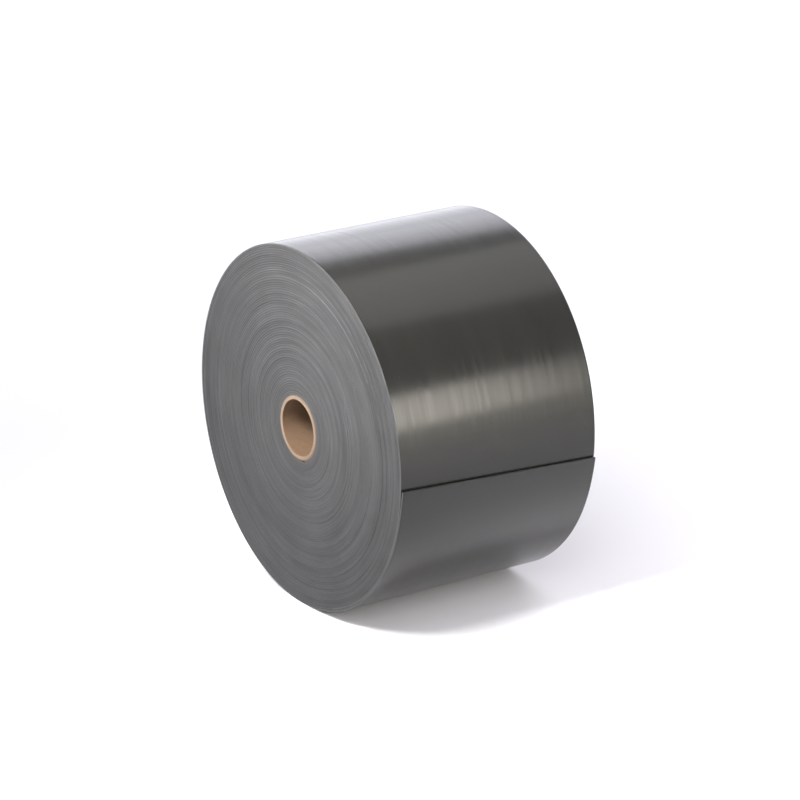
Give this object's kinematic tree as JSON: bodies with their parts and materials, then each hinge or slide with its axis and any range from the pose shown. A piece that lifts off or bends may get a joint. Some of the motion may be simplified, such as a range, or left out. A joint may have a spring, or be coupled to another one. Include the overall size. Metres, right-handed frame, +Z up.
{
  "type": "adhesive tape roll",
  "caption": "Wide roll of dark graphite-grey self-adhesive band wound on a small brown paper core, lying on its curved side, with a free end that peels off.",
  "frame": {"origin": "centre of the roll's footprint on the surface it lies on, below its axis", "axes": "+Z up; Y along the roll's axis, with the front annular face towards -Y; +X towards the side with the free end"},
  "size_m": [0.1629, 0.1, 0.1623],
  "materials": {
    "core_liner": "bare brown kraft board, matte",
    "core_board": "bare chipboard, matte",
    "core_outer_board": "bare light kraft board, matte",
    "band": "semi-gloss dark graphite grey with fine streaks along the band; satin on its cut edges"
  },
  "bodies": {
    "roll": {"core_inner_ply": "core_liner", "core_middle_ply_1": "core_board", "core_middle_ply_2": "core_board", "core_outer_ply": "core_outer_board", "tape_first_turn": "band", "tape_wound_turns": "band", "tape_last_turn": "band"},
    "tail_1": {"tape_tail_1": "band"},
    "tail_2": {"tape_tail_2": "band"},
    "tail_3": {"tape_tail_3": "band"},
    "tail_4": {"tape_tail_4": "band"},
    "tail_5": {"tape_tail_5": "band"},
    "tail_6": {"tape_tail_6": "band"}
  },
  "joints": [
    {"name": "tail_peel", "type": "hinge", "parent": "roll", "child": "tail_1", "pos_m": [0.02747, 0, 0.00462], "axis": [0, 1, 0], "range_deg": [0, 15]},
    {"name": "tail_bend_2", "type": "hinge", "parent": "tail_1", "child": "tail_2", "pos_m": [0.04194, 0, 0.01143], "axis": [0, 1, 0], "range_deg": [0, 12]},
    {"name": "tail_bend_3", "type": "hinge", "parent": "tail_2", "child": "tail_3", "pos_m": [0.05481, 0, 0.02093], "axis": [0, 1, 0], "range_deg": [0, 12]},
    {"name": "tail_bend_4", "type": "hinge", "parent": "tail_3", "child": "tail_4", "pos_m": [0.06558, 0, 0.03277], "axis": [0, 1, 0], "range_deg": [0, 12]},
    {"name": "tail_bend_5", "type": "hinge", "parent": "tail_4", "child": "tail_5", "pos_m": [0.07383, 0, 0.04648], "axis": [0, 1, 0], "range_deg": [0, 12]},
    {"name": "tail_bend_6", "type": "hinge", "parent": "tail_5", "child": "tail_6", "pos_m": [0.07926, 0, 0.06155], "axis": [0, 1, 0], "range_deg": [0, 12]}
  ],
  "couplings": [
    {"joint": "tail_bend_2", "follows": "tail_peel", "ratio": 0.8},
    {"joint": "tail_bend_3", "follows": "tail_peel", "ratio": 0.8},
    {"joint": "tail_bend_4", "follows": "tail_peel", "ratio": 0.8},
    {"joint": "tail_bend_5", "follows": "tail_peel", "ratio": 0.8},
    {"joint": "tail_bend_6", "follows": "tail_peel", "ratio": 0.8}
  ]
}
